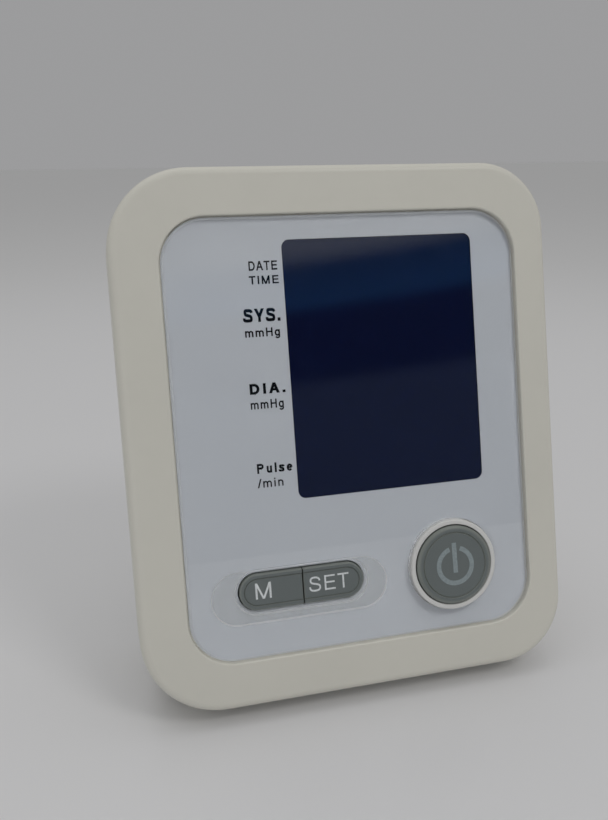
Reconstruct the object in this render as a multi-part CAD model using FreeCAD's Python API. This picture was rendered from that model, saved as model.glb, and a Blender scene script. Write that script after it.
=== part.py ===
import FreeCAD, Part
import math
import os

# Desktop main unit of an automatic upper-arm blood pressure monitor.
#
# All pieces are drawn in the device's own upright frame, in millimetres:
#   x to the right of the face, y into the depth (y = 0 is the front plane of the bezel),
#   z up the face, with (0, 0) at the middle of the bezel.
# At the end everything leans back about X by LEAN and is set down so that the flat
# standing face of the rear housing lies on z = 0 and the bounding box is centred.

V = FreeCAD.Vector
os.makedirs("parts", exist_ok=True)

# ---------------------------------------------------------------- driving dimensions
LEAN = 14.0            # degrees the face leans back when the unit stands
CASE_W = 117.2         # bezel width
CASE_H = 137.9         # bezel height
CASE_CZ = 0.12         # middle of the bezel in z
CASE_R = (21.0, 17.8)  # bezel corner radii, left pair and right pair
EDGE_R = 2.1           # rounding of the front edge
FRONT_D = 12.0         # depth of the front case
REAR_Y = 46.0          # plane of the back
WALL = 2.2             # case wall
WEB_Y0 = 2.6           # front of the web that carries the panel
WEB_Y1 = 4.5           # back of that web
FLOOR_Z0 = -73.8       # standing plane where it meets y = 0

REC_CX, REC_CZ = 1.42, 0.08     # panel recess, centre
REC_W, REC_H, REC_R = 95.5, 113.65, 12.0
LENS_GAP = 0.35        # gap round the clear panel
LENS_Y0, LENS_Y1 = 0.5, 2.15
PRINT_Y0, PRINT_Y1 = 2.25, 2.40

WIN_CX, WIN_CZ = 10.97, 17.14   # display window
WIN_W, WIN_H, WIN_R = 52.2, 66.85, 2.1

PWR_X, PWR_Z = 26.27, -38.65    # power key
PWR_R = 10.74
PWR_HOLE = 11.02
COLLAR_R = 12.35
COLLAR_GAP = 0.2       # play between the collar and the clear panel

PILL_X, PILL_Z = -15.9, -39.2   # pill of the two small keys
PILL_W, PILL_H = 33.5, 9.5
PILL_GAP = 0.4         # gap between the keys and the opening in the case
PHOLE_W, PHOLE_H = 36.3, 12.2   # mouth of the bevelled opening in the clear panel
PHOLE_W1, PHOLE_H1 = 34.1, 10.05 # the same opening at the back of the panel
SPLIT_X = -15.72
SPLIT_GAP = 0.36
PREC_X, PREC_Z = -16.45, -40.25  # shallow recess round the pill
PREC_W, PREC_H = 47.5, 14.1
PREC_D = 0.5
PREC_S = 0.35          # how far its sloping wall runs inwards

KEY_TRAVEL = 0.8
STEM_Y0 = 6.2          # where the keys meet the switch stems
BOARD_Y0, BOARD_Y1 = 11.0, 12.6

CASE_SCREWS = [(46.0, 52.0), (-46.0, 52.0), (46.0, -50.0), (-46.0, -50.0)]
BOARD_SCREWS = [(37.0, 60.5), (-37.0, 60.5), (37.0, -56.0), (-37.0, -56.0)]
FEET = [(42.5, 34.0), (-42.5, 34.0), (42.5, -34.0), (-42.5, -34.0)]

CELL_R, CELL_L = 7.15, 50.5
CELL_Y = 36.0
CELL_Z = [-48.4, -33.6, -18.8, -4.0]
BAY_X, BAY_Z0, BAY_Z1 = 29.5, -56.2, 3.8
BAY_Y0 = 28.6
HINGE_Y, HINGE_Z = 45.0, -56.0

SOCK_Y, SOCK_Z = 28.0, 26.0     # air socket in the left wall
INLET_Y, INLET_Z = 28.0, 16.0   # mains inlet in the right wall
SEAT_X = 54.8                   # plane of both seats
TUBE_RI, TUBE_RO = 2.2, 3.4

TAN = math.tan(math.radians(LEAN))


# ---------------------------------------------------------------- helpers
def rr_wire(cx, cz, w, h, r, y):
    """Rounded rectangle; r is one radius, or (left, right)."""
    a, b = r if isinstance(r, tuple) else (r, r)
    x0, x1, z0, z1 = cx - w / 2, cx + w / 2, cz - h / 2, cz + h / 2
    q = 1 - 2 ** -0.5
    e = []
    if w - a - b > 1e-6:
        e.append(Part.LineSegment(V(x0 + a, y, z0), V(x1 - b, y, z0)).toShape())
    e.append(Part.Arc(V(x1 - b, y, z0), V(x1 - b * q, y, z0 + b * q), V(x1, y, z0 + b)).toShape())
    if h - 2 * b > 1e-6:
        e.append(Part.LineSegment(V(x1, y, z0 + b), V(x1, y, z1 - b)).toShape())
    e.append(Part.Arc(V(x1, y, z1 - b), V(x1 - b * q, y, z1 - b * q), V(x1 - b, y, z1)).toShape())
    if w - a - b > 1e-6:
        e.append(Part.LineSegment(V(x1 - b, y, z1), V(x0 + a, y, z1)).toShape())
    e.append(Part.Arc(V(x0 + a, y, z1), V(x0 + a * q, y, z1 - a * q), V(x0, y, z1 - a)).toShape())
    if h - 2 * a > 1e-6:
        e.append(Part.LineSegment(V(x0, y, z1 - a), V(x0, y, z0 + a)).toShape())
    e.append(Part.Arc(V(x0, y, z0 + a), V(x0 + a * q, y, z0 + a * q), V(x0 + a, y, z0)).toShape())
    return Part.Wire(e)


def less(r, d):
    """Corner radii reduced by d."""
    return tuple(v - d for v in r)


def rr(cx, cz, w, h, r, y0, y1):
    return Part.Face(rr_wire(cx, cz, w, h, r, y0)).extrude(V(0, y1 - y0, 0))


def stad(cx, cz, w, h, y0, y1):
    return rr(cx, cz, w, h, h / 2, y0, y1)


def loft(wires):
    return Part.makeLoft(wires, True, True)


def cy(x, z, r, y0, y1):
    return Part.makeCylinder(r, y1 - y0, V(x, y0, z), V(0, 1, 0))


def cx_(y, z, r, x0, x1):
    return Part.makeCylinder(r, x1 - x0, V(x0, y, z), V(1, 0, 0))


def cz_(x, y, r, z0, z1):
    return Part.makeCylinder(r, z1 - z0, V(x, y, z0), V(0, 0, 1))


def cone_y(x, z, r0, r1, y0, y1):
    return Part.makeCone(r0, r1, y1 - y0, V(x, y0, z), V(0, 1, 0))


def box(x0, x1, y0, y1, z0, z1):
    return Part.makeBox(x1 - x0, y1 - y0, z1 - z0, V(x0, y0, z0))


def edges_at_y(s, y, tol=0.01, test=None):
    out = []
    for e in s.Edges:
        b = e.BoundBox
        if abs(b.YMin - y) < tol and abs(b.YMax - y) < tol:
            if test is None or test(b):
                out.append(e)
    return out


def one(s):
    """The single solid of a boolean result."""
    s = s.removeSplitter()
    sol = s.Solids
    return sol[0] if len(sol) == 1 else s


def floor_wedge(lift, y0=-20.0, y1=80.0):
    """Everything below the standing plane raised by lift."""
    p = [V(-90, y0, FLOOR_Z0 + lift + y0 * TAN), V(-90, y1, FLOOR_Z0 + lift + y1 * TAN),
         V(-90, y1, -160), V(-90, y0, -160)]
    w = Part.makePolygon(p + [p[0]])
    return Part.Face(w).extrude(V(180, 0, 0))


parts = {}

# ---------------------------------------------------------------- front case
outer = rr(0, CASE_CZ, CASE_W, CASE_H, CASE_R, 0, FRONT_D)
outer = outer.makeFillet(EDGE_R, edges_at_y(outer, 0.0))

front = outer
recess = rr(REC_CX, REC_CZ, REC_W, REC_H, REC_R, -1, WEB_Y0)
front = front.cut(recess)
rim = edges_at_y(front, 0.0, test=lambda b: b.XMin > -48 and b.XMax < 51 and abs(b.ZMin) < 58.5 and abs(b.ZMax) < 58.5)
front = front.makeFillet(0.45, rim)
cavity = rr(0, CASE_CZ, CASE_W - 2 * WALL, CASE_H - 2 * WALL, less(CASE_R, WALL), WEB_Y1, FRONT_D + 1)
front = front.cut(cavity)
# opening for the display module
front = front.cut(rr(WIN_CX, WIN_CZ, 57.2, 72.4, 1.5, 0, 6))
# collar that the power key sits in
collar = cy(PWR_X, PWR_Z, COLLAR_R, -0.5, 3.0)
collar = collar.makeFillet(0.45, [e for e in collar.Edges if abs(e.BoundBox.YMax + 0.5) < 0.01])
front = front.fuse(collar)
front = front.cut(cy(PWR_X, PWR_Z, PWR_HOLE, -2, 6))
inner_rim = [e for e in front.Edges if abs(e.BoundBox.YMin + 0.5) < 0.01 and abs(e.BoundBox.YMax + 0.5) < 0.01
             and abs((e.BoundBox.XMax - e.BoundBox.XMin) - 2 * PWR_HOLE) < 0.1]
if inner_rim:
    front = front.makeFillet(0.3, inner_rim)
front = front.cut(stad(PILL_X, PILL_Z, PILL_W + 2 * PILL_GAP, PILL_H + 2 * PILL_GAP, 0, 6))
# screw bosses
for x, z in CASE_SCREWS:
    front = front.fuse(cy(x, z, 3.2, WEB_Y1 - 0.5, FRONT_D))
    front = front.cut(cy(x, z, 1.5, 6.0, FRONT_D + 1))
for x, z in BOARD_SCREWS:
    front = front.fuse(cy(x, z, 2.6, WEB_Y1 - 0.5, BOARD_Y0))
    front = front.cut(cy(x, z, 1.0, 6.0, BOARD_Y0 + 1))
# stiffening rib behind the web, between the display and the keys
front = front.fuse(box(-42, 11.5, WEB_Y1 - 0.3, 6.6, -27.2, -26.0))
parts["front_case"] = one(front)

# ---------------------------------------------------------------- clear panel, print and tape
LW, LH, LR = REC_W - 2 * LENS_GAP, REC_H - 2 * LENS_GAP, REC_R - LENS_GAP
lens = rr(REC_CX, REC_CZ, LW, LH, LR, LENS_Y0, LENS_Y1)
lens = lens.makeChamfer(0.7, edges_at_y(lens, LENS_Y0))
# round opening for the power collar
lens = lens.cut(cy(PWR_X, PWR_Z, COLLAR_R + COLLAR_GAP, -2, 6))
# shallow pill-shaped recess with sloping walls, cut by a tapered stadium
over = 0.3
g = PREC_S * over / PREC_D
tool = loft([rr_wire(PREC_X, PREC_Z, PREC_W + 2 * g, PREC_H + 2 * g, PREC_H / 2 + g, LENS_Y0 - over),
             rr_wire(PREC_X, PREC_Z, PREC_W - 2 * PREC_S, PREC_H - 2 * PREC_S, PREC_H / 2 - PREC_S, LENS_Y0 + PREC_D)])
lens = lens.cut(tool)
# bevelled opening for the pill keys
y0, y1 = LENS_Y0 + PREC_D, LENS_Y1
sw, sh = (PHOLE_W - PHOLE_W1) / (y1 - y0), (PHOLE_H - PHOLE_H1) / (y1 - y0)
tool = loft([rr_wire(PILL_X, PILL_Z, PHOLE_W + 0.1 * sw, PHOLE_H + 0.1 * sh, (PHOLE_H + 0.1 * sh) / 2 - 0.001, y0 - 0.1),
             rr_wire(PILL_X, PILL_Z, PHOLE_W1 - 0.1 * sw, PHOLE_H1 - 0.1 * sh, (PHOLE_H1 - 0.1 * sh) / 2 - 0.001, y1 + 0.1)])
lens = lens.cut(tool)
parts["lens_panel"] = one(lens)

sheet = rr(REC_CX, REC_CZ, LW - 0.6, LH - 0.6, LR - 0.3, PRINT_Y0, PRINT_Y1)
sheet = sheet.cut(rr(WIN_CX, WIN_CZ, WIN_W, WIN_H, WIN_R, 0, 4))
sheet = sheet.cut(cy(PWR_X, PWR_Z, COLLAR_R + COLLAR_GAP, 0, 4))
sheet = sheet.cut(stad(PILL_X, PILL_Z, PHOLE_W1 + 0.1, PHOLE_H1 + 0.1, 0, 4))
parts["panel_print"] = one(sheet)

tape = rr(REC_CX, REC_CZ, LW - 2, LH - 2, LR - 1, PRINT_Y1, WEB_Y0)
tape = tape.cut(rr(REC_CX, REC_CZ, LW - 12, LH - 12, LR - 6, 0, 4))
tape = tape.cut(cy(PWR_X, PWR_Z, COLLAR_R + COLLAR_GAP + 0.1, 0, 4))
parts["lens_tape"] = one(tape)

# ---------------------------------------------------------------- display module
CELL_Y0, CELL_Y1 = 2.7, 5.5
parts["lcd_cell"] = rr(WIN_CX, WIN_CZ, 56.2, 71.4, 0.6, CELL_Y0, CELL_Y1)

hold = rr(WIN_CX, WIN_CZ, 60.4, 76.4, 1.5, 4.7, 10.9)
hold = hold.cut(box(WIN_CX - 28.3, WIN_CX + 28.3, 4, 5.6, WIN_CZ - 35.9, WIN_CZ + 35.9))
hold = hold.cut(box(WIN_CX - 27.0, WIN_CX + 27.0, 4, 9.0, WIN_CZ - 32.0, WIN_CZ + 32.0))
for s in (-1, 1):
    zc = WIN_CZ + s * 34.1
    hold = hold.cut(box(WIN_CX - 25.0, WIN_CX + 25.0, 4, 12, zc - 1.1, zc + 1.1))
parts["lcd_holder"] = one(hold)

light = rr(WIN_CX, WIN_CZ, 53.6, 63.6, 1.0, 5.65, 8.85)
parts["lcd_backlight"] = light

strips = [box(WIN_CX - 24.8, WIN_CX + 24.8, CELL_Y1, BOARD_Y0, WIN_CZ + s * 34.1 - 0.95, WIN_CZ + s * 34.1 + 0.95)
          for s in (-1, 1)]
parts["lcd_zebra_strips"] = Part.makeCompound(strips)

# ---------------------------------------------------------------- keys and switches
# power key: cap with a rounded rim, a fine groove round the flat centre, a skirt, a flange and a hub
KF = -1.1              # flat centre of the power key
KE = KF + 0.45         # outer edge of its rounded rim
prof = [V(0, KF, 0), V(8.7, KF, 0), V(8.93, KF + 0.3, 0), V(9.18, KF - 0.05, 0)]
rim_arc = Part.Arc(V(9.18, KF - 0.05, 0), V(10.10, KF + 0.06, 0), V(PWR_R, KE, 0)).toShape()
low = [V(PWR_R, KE, 0), V(PWR_R, 4.6, 0), V(0, 4.6, 0), V(0, KF, 0)]
ed = [Part.LineSegment(prof[i], prof[i + 1]).toShape() for i in range(3)] + [rim_arc]
ed += [Part.LineSegment(low[i], low[i + 1]).toShape() for i in range(3)]
key = Part.Face(Part.Wire(ed)).revolve(V(0, 0, 0), V(0, 1, 0), 360)
key.translate(V(PWR_X, 0, PWR_Z))
key = key.fuse(cy(PWR_X, PWR_Z, 12.0, 4.6, 5.6))
key = key.cut(cy(PWR_X, PWR_Z, 9.2, KF + 1.4, 6))
key = key.fuse(cy(PWR_X, PWR_Z, 3.0, KF + 1.0, STEM_Y0))
for a in range(4):
    rib = box(2.5, 9.5, KF + 1.0, 5.0, -0.5, 0.5)
    rib.rotate(V(0, 0, 0), V(0, 1, 0), 45 + 90 * a)
    rib.translate(V(PWR_X, 0, PWR_Z))
    key = key.fuse(rib)
parts["power_button"] = one(key)


def pill_inset(d, y):
    return rr_wire(PILL_X, PILL_Z, PILL_W - 2 * d, PILL_H - 2 * d, PILL_H / 2 - d, y)


PT = 0.92       # crest of the pill keys
PE = 1.2        # where their rim meets the straight sides
PF = 1.0        # flat inside the rim
rim = [(0.0, PE), (0.14, 1.08), (0.42, 0.98), (1.05, PT)]
pill = stad(PILL_X, PILL_Z, PILL_W, PILL_H, PE, 4.6)
for (d0, ya), (d1, yb) in zip(rim[:-1], rim[1:]):
    pill = pill.fuse(loft([pill_inset(d1, yb), pill_inset(d0, ya)]))
pill = pill.removeSplitter()
pill = pill.cut(Part.Face(pill_inset(1.29, PT - 1)).extrude(V(0, 1 + PF - PT, 0)))
groove = loft([pill_inset(1.05, PT - 0.05), pill_inset(1.24, PT + 0.33)])
groove = groove.cut(loft([pill_inset(1.52, PT - 0.05), pill_inset(1.30, PT + 0.33)]))
pill = pill.cut(groove)
pill = pill.fuse(stad(PILL_X, PILL_Z, PILL_W + 2.4, PILL_H + 2.4, 4.6, 5.6))


def half(side, hub_x):
    """One key of the pill; side -1 is left of the split, +1 right of it."""
    if side < 0:
        keep = box(-60, SPLIT_X - SPLIT_GAP / 2, -5, 8, -60, -20)
    else:
        keep = box(SPLIT_X + SPLIT_GAP / 2, 30, -5, 8, -60, -20)
    k = pill.common(keep)
    hollow = stad(PILL_X, PILL_Z, PILL_W - 3.2, PILL_H - 3.2, 2.8, 6)
    if side < 0:
        hollow = hollow.common(box(-60, SPLIT_X - SPLIT_GAP / 2 - 1.3, 0, 8, -60, -20))
    else:
        hollow = hollow.common(box(SPLIT_X + SPLIT_GAP / 2 + 1.3, 30, 0, 8, -60, -20))
    k = k.cut(hollow)
    k = k.fuse(cy(hub_x, PILL_Z, 2.2, 2.5, STEM_Y0))
    k = k.fuse(box(hub_x - 5.5, hub_x + 5.5, 2.5, 4.6, PILL_Z - 0.5, PILL_Z + 0.5))
    k = one(k)
    # soften the edge along the split
    sx = SPLIT_X + side * SPLIT_GAP / 2
    sp = [e for e in k.Edges if abs(e.BoundBox.XMin - sx) < 0.01 and abs(e.BoundBox.XMax - sx) < 0.01
          and e.BoundBox.YMax < PF + 0.02 and e.Length > 3]
    if sp:
        k = k.makeChamfer(0.2, sp)
    return k


MEM_X, SET_X = -24.3, -7.0
parts["memory_button"] = half(-1, MEM_X)
parts["set_button"] = half(1, SET_X)


def switch(x, z):
    b = box(x - 3.1, x + 3.1, 8.0, BOARD_Y0, z - 3.1, z + 3.1)
    b = b.makeChamfer(0.3, edges_at_y(b, 8.0))
    b = b.cut(cy(x, z, 1.8, 7, 9.7))
    return b


for name, x, z in (("power", PWR_X, PWR_Z), ("memory", MEM_X, PILL_Z), ("set", SET_X, PILL_Z)):
    parts[name + "_switch"] = switch(x, z)
    parts[name + "_switch_stem"] = cy(x, z, 1.75, STEM_Y0, 8.7)

# ---------------------------------------------------------------- board and what is on it
board = rr(0, 2, 84, 124, 2.0, BOARD_Y0, BOARD_Y1)
for x, z in BOARD_SCREWS:
    board = board.cut(cy(x, z, 1.2, 10, 14))
parts["main_board"] = one(board)

chip = box(-14, 0, BOARD_Y1, 14.6, -22, -8)
parts["microcontroller"] = chip.makeChamfer(0.4, edges_at_y(chip, 14.6))
parts["board_capacitors"] = Part.makeCompound([cy(20, -14, 4.0, BOARD_Y1, 24.0), cy(30, -14, 4.0, BOARD_Y1, 24.0),
                                               cy(26, -26, 2.5, BOARD_Y1, 20.0)])
parts["wire_headers"] = Part.makeCompound([box(-36, -26, BOARD_Y1, 19.0, -30, -25), box(-36, -26, BOARD_Y1, 19.0, -42, -37),
                                           box(28, 38, BOARD_Y1, 19.0, -42, -37)])
bz = cy(-8, 55, 6.0, BOARD_Y1, 20.0)
bz = bz.cut(cy(-8, 55, 1.2, 18.5, 21))
parts["buzzer"] = bz

screws = []
for x, z in BOARD_SCREWS:
    s = cy(x, z, 2.0, BOARD_Y1, 14.2).fuse(cy(x, z, 0.95, 6.6, BOARD_Y1)).removeSplitter()
    s = s.cut(box(x - 1.3, x + 1.3, 13.4, 15, z - 0.25, z + 0.25)).cut(box(x - 0.25, x + 0.25, 13.4, 15, z - 1.3, z + 1.3))
    screws.append(one(s))
parts["board_screws"] = Part.makeCompound(screws)

# ---------------------------------------------------------------- rear housing
R0 = dict(x=57.8, z0=-72.5, z1=68.3, r=(20.3, 17.1))     # section at the parting plane
R1 = dict(x=54.0, z0=-69.0, z1=64.5, r=(17.8, 14.6))     # section at the back


def rear_wire(y, inset):
    t = (y - FRONT_D) / (REAR_Y - FRONT_D)
    x = R0["x"] + (R1["x"] - R0["x"]) * t - inset
    z0 = R0["z0"] + (R1["z0"] - R0["z0"]) * t + inset
    z1 = R0["z1"] + (R1["z1"] - R0["z1"]) * t - inset
    r = tuple(p + (q - p) * t - inset for p, q in zip(R0["r"], R1["r"]))
    return rr_wire(0, (z0 + z1) / 2, 2 * x, z1 - z0, r, y)


shell_out = loft([rear_wire(FRONT_D, 0), rear_wire(REAR_Y, 0)])
shell_out = shell_out.makeFillet(5.0, edges_at_y(shell_out, REAR_Y))
shell_out = shell_out.cut(floor_wedge(0.0))
# small bevel where the standing face meets the back
zb = FLOOR_Z0 + REAR_Y * TAN
bevel = [V(-90, REAR_Y - 1.4, zb - 1.4 * TAN - 0.01), V(-90, REAR_Y + 0.01, zb + 1.2), V(-90, REAR_Y + 9, zb + 1.2),
         V(-90, REAR_Y + 9, zb - 9), V(-90, REAR_Y - 1.4, zb - 9)]
shell_out = shell_out.cut(Part.Face(Part.makePolygon(bevel + [bevel[0]])).extrude(V(180, 0, 0)))
shell_in = loft([rear_wire(FRONT_D - 1.0, WALL), rear_wire(REAR_Y - WALL, WALL)])
shell_in = shell_in.makeFillet(3.0, edges_at_y(shell_in, REAR_Y - WALL))
shell_in = shell_in.cut(floor_wedge(3.4))
rear = shell_out.cut(shell_in)

# locating lip inside the front case
lip = rr(0, CASE_CZ, CASE_W - 2 * WALL - 0.3, CASE_H - 2 * WALL - 0.3, less(CASE_R, WALL + 0.15), 10.4, 13.2)
lip = lip.cut(rr(0, CASE_CZ, CASE_W - 2 * WALL - 2.7, CASE_H - 2 * WALL - 2.7, less(CASE_R, WALL + 1.35), 9, 14))
rear = rear.fuse(lip)
# flange at the parting plane: closes the joint at the lower corners, where this shell runs outside the front case
flange = box(-70, 70, FRONT_D, 13.6, -90, 90).common(shell_out)
flange = flange.cut(rr(0, CASE_CZ, CASE_W - 2 * WALL - 2.7, CASE_H - 2 * WALL - 2.7, less(CASE_R, WALL + 1.35), 9, 14))
rear = rear.fuse(flange)

# solids added inside, all trimmed to the outer shape
add = []
add.append(box(-BAY_X - 1.5, BAY_X + 1.5, BAY_Y0 - 1.5, REAR_Y, BAY_Z0 - 1.5, BAY_Z1 + 1.5))       # battery bay
add.append(box(-36.5, 36.5, 41.8, 44.4, -60.5, 7.5))                                               # ledge under the door
add.append(box(-8.6, 8.6, 35.0, 45.0, 3.8, 11.2))                                                  # latch pocket
add.append(box(-9.5, 9.5, 41.4, 44.4, 3.8, 18.0))                                                  # under the finger scoop
add.append(box(-SEAT_X - 0.6, -SEAT_X + 4.5, 19.5, 36.5, 17.5, 34.5))                              # pad behind the air socket
add.append(box(SEAT_X - 4.5, SEAT_X + 0.6, 20.5, 35.5, INLET_Z - 7.5, INLET_Z + 7.5))              # pad behind the mains inlet
for x, z in CASE_SCREWS:
    add.append(cy(x, z, 3.4, FRONT_D, 14.0).fuse(cy(x, z, 5.2, 13.4, REAR_Y)))
for x, z in FEET:
    add.append(cy(x, z, 6.5, 42.6, 44.4))
for s in add:
    rear = rear.fuse(s.common(shell_out))

# battery bay pocket
rear = rear.cut(box(-BAY_X, BAY_X, BAY_Y0, REAR_Y + 1, BAY_Z0, BAY_Z1))
# door recess, with round bottom edge about the hinge line
rear = rear.cut(box(-33.3, 33.3, 43.95, REAR_Y + 1, HINGE_Z - 1.3, 5.3))
# latch slot and finger scoop
rear = rear.cut(box(-7.0, 7.0, 37.0, REAR_Y + 1, 4.6, 9.7))
rear = rear.cut(Part.makeSphere(12.0, V(0, 56.3, 10.6)))
# hinge pin holes
for s in (-1, 1):
    rear = rear.cut(cx_(HINGE_Y, HINGE_Z, 0.75, min(s * 33.0, s * 35.6), max(s * 33.0, s * 35.6)))
# screw wells
for x, z in CASE_SCREWS:
    rear = rear.cut(cy(x, z, 3.6, 20.0, REAR_Y + 1))
    rear = rear.cut(cy(x, z, 1.7, FRONT_D - 1, 21.0))
# seats of the rubber feet
for x, z in FEET:
    rear = rear.cut(cy(x, z, 5.0, 45.0, REAR_Y + 1))
# bare label recess
rear = rear.cut(rr(0, 36.0, 62.0, 26.0, 2.0, REAR_Y - 0.35, REAR_Y + 1))
# sound slots
for x in (-10.0, -6.0, -2.0, 2.0, 6.0, 10.0):
    rear = rear.cut(rr(x, 56.0, 1.5, 7.0, 0.75, 40.0, REAR_Y + 1))
# air socket and mains inlet holes with flat seats
rear = rear.cut(cx_(SOCK_Y, SOCK_Z, 7.1, -70, -SEAT_X)).cut(cx_(SOCK_Y, SOCK_Z, 5.1, -60, -49))
rear = rear.cut(cx_(INLET_Y, INLET_Z, 6.1, SEAT_X, 70)).cut(cx_(INLET_Y, INLET_Z, 4.9, 49, 60))
parts["rear_housing"] = one(rear)

# ---------------------------------------------------------------- battery door
door = box(-33.0, 33.0, 44.0, REAR_Y, HINGE_Z, 5.0)
door = door.fuse(cx_(HINGE_Y, HINGE_Z, 1.0, -33.0, 33.0))
door = door.fuse(cx_(HINGE_Y, HINGE_Z, 0.7, -35.3, 35.3))
# latch tongue: a U of sprung plastic in the slot above the bay, with a thumb pad
door = door.fuse(box(-6.2, 6.2, 38.4, 44.5, 5.0, 5.9))
door = door.fuse(box(-6.2, 6.2, 44.0, 45.0, 4.5, 5.9))
door = door.fuse(box(-6.2, 6.2, 38.4, 39.4, 5.0, 8.0))
door = door.fuse(box(-6.2, 6.2, 38.4, 45.6, 7.1, 8.0))
door = door.fuse(box(-6.2, 6.2, 44.4, 45.6, 7.1, 9.2))
door = door.removeSplitter()
# grip ridges and an arrow that shows where to press
for i in range(5):
    z = -4.0 - 2.2 * i
    door = door.cut(rr(0, z, 22.0, 0.9, 0.44, REAR_Y - 0.5, REAR_Y + 1))
tri = Part.Face(Part.makePolygon([V(-3.2, REAR_Y - 0.4, -1.6), V(3.2, REAR_Y - 0.4, -1.6), V(0, REAR_Y - 0.4, 2.0),
                                  V(-3.2, REAR_Y - 0.4, -1.6)])).extrude(V(0, 1, 0))
door = door.cut(tri)
# stiffening ribs inside, between the cells
for z in (-41.0, -26.2, -11.4):
    door = door.fuse(box(-24.0, 24.0, 42.6, 44.2, z - 0.5, z + 0.5))
parts["battery_door"] = one(door)

# ---------------------------------------------------------------- cells and contacts
cells, springs, plates = [], [], []
for i, z in enumerate(CELL_Z):
    s = 1 if i % 2 == 0 else -1
    tip = 28.9                                       # end of the button terminal, on the plate side
    c = cx_(CELL_Y, z, CELL_R, tip - CELL_L, tip - 1.1)
    c = c.makeFillet(0.6, [e for e in c.Edges if e.Length > 40])
    c = c.fuse(cx_(CELL_Y, z, 2.75, tip - 1.2, tip)).removeSplitter()
    plate = box(29.0, 29.45, CELL_Y - 5, CELL_Y + 5, z - 5, z + 5)
    base = box(-29.45, -29.05, CELL_Y - 5, CELL_Y + 5, z - 5, z + 5)
    x0, x1 = -29.05, tip - CELL_L
    turns = 4.0
    wire_r = 0.4
    pitch = (x1 - x0 - 2 * wire_r) / turns
    h = Part.makeHelix(pitch, pitch * turns, 3.6)
    ring8 = [V(3.6 + wire_r * math.cos(math.pi * (k + 0.5) / 4), 0, wire_r * math.sin(math.pi * (k + 0.5) / 4))
             for k in range(8)]
    coil = Part.Wire(h.Edges).makePipeShell([Part.makePolygon(ring8 + [ring8[0]])], True, True)
    coil.rotate(V(0, 0, 0), V(0, 1, 0), 90)          # helix axis z -> x
    coil.translate(V(x0 + wire_r, CELL_Y, z))
    group = [c, plate, base, coil]
    if s < 0:
        for g in group:
            g.rotate(V(0, CELL_Y, z), V(0, 1, 0), 180)
    cells.append(group[0])
    plates.append(group[1])
    plates.append(group[2])
    springs.append(group[3])
parts["aa_cells"] = Part.makeCompound(cells)
parts["battery_plates"] = Part.makeCompound(plates)
parts["battery_springs"] = Part.makeCompound(springs)

# ---------------------------------------------------------------- air system
PY, PZ = 28.0, 32.0      # pump axis
can = cx_(PY, PZ, 12.1, 4.0, 34.0)
can = can.makeFillet(1.5, [e for e in can.Edges if e.BoundBox.XMin > 33.9 and e.Length > 60])
can = can.fuse(cx_(PY, PZ, 3.0, 2.5, 4.0)).fuse(cx_(PY, PZ, 4.0, 34.0, 35.5)).removeSplitter()
can = can.cut(cx_(PY, PZ, 1.04, 1.0, 13.0))
parts["pump_motor"] = one(can)
parts["motor_shaft"] = cx_(PY, PZ, 1.0, -7.0, 12.0)
crank = cx_(PY, PZ, 5.0, -7.0, -3.0).cut(cx_(PY, PZ, 1.0, -8, 0))
crank = crank.fuse(cx_(PY + 2.6, PZ, 1.1, -10.0, -7.0)).removeSplitter()
parts["pump_crank"] = one(crank)
head = box(-20.0, 4.0, 15.0, 41.0, 19.0, 45.0)
head = head.makeFillet(2.0, [e for e in head.Edges if abs(e.BoundBox.XMax - e.BoundBox.XMin) > 20])
head = head.cut(cx_(PY, PZ, 8.5, -12.0, -2.0)).cut(cx_(PY, PZ, 1.4, -3, 3)).cut(cx_(PY, PZ, 3.1, 2.3, 5))
head = head.fuse(cx_(SOCK_Y, SOCK_Z, TUBE_RI, -23.6, -19.0)).cut(cx_(SOCK_Y, SOCK_Z, 1.1, -25, -15.0))
parts["pump_head"] = one(head)
parts["pump_sleeve"] = one(cx_(PY, PZ, 14.0, 8.0, 30.0).cut(cx_(PY, PZ, 12.1, 7.0, 31.0)))

MX = -32.0               # manifold
man = box(MX - 4, MX + 4, SOCK_Y - 4, SOCK_Y + 4, SOCK_Z - 4, SOCK_Z + 4)
man = man.fuse(cx_(SOCK_Y, SOCK_Z, TUBE_RI, MX - 7.2, MX + 7.6))
man = man.fuse(cz_(MX, SOCK_Y, TUBE_RI, SOCK_Z, SOCK_Z + 8.0))
man = man.fuse(cy(MX, SOCK_Z, TUBE_RI, SOCK_Y - 7.6, SOCK_Y))
man = man.cut(cx_(SOCK_Y, SOCK_Z, 1.1, MX - 9, MX + 9))
man = man.cut(cz_(MX, SOCK_Y, 1.1, SOCK_Z, SOCK_Z + 9)).cut(cy(MX, SOCK_Z, 1.1, SOCK_Y - 9, SOCK_Y))
parts["air_manifold"] = one(man)


def tube(kind, a, b, p, q):
    if kind == "x":
        return cx_(p, q, TUBE_RO, a, b).cut(cx_(p, q, TUBE_RI, a - 1, b + 1))
    if kind == "z":
        return cz_(p, q, TUBE_RO, a, b).cut(cz_(p, q, TUBE_RI, a - 1, b + 1))
    return cy(p, q, TUBE_RO, a, b).cut(cy(p, q, TUBE_RI, a - 1, b + 1))


parts["socket_tube"] = tube("x", -SEAT_X + 10.7, MX - 4.1, SOCK_Y, SOCK_Z)
parts["pump_tube"] = tube("x", MX + 4.1, -20.1, SOCK_Y, SOCK_Z)
parts["valve_tube"] = tube("z", SOCK_Z + 4.1, 39.9, MX, SOCK_Y)
parts["sensor_tube"] = tube("y", 16.8, SOCK_Y - 4.1, MX, SOCK_Z)

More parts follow.
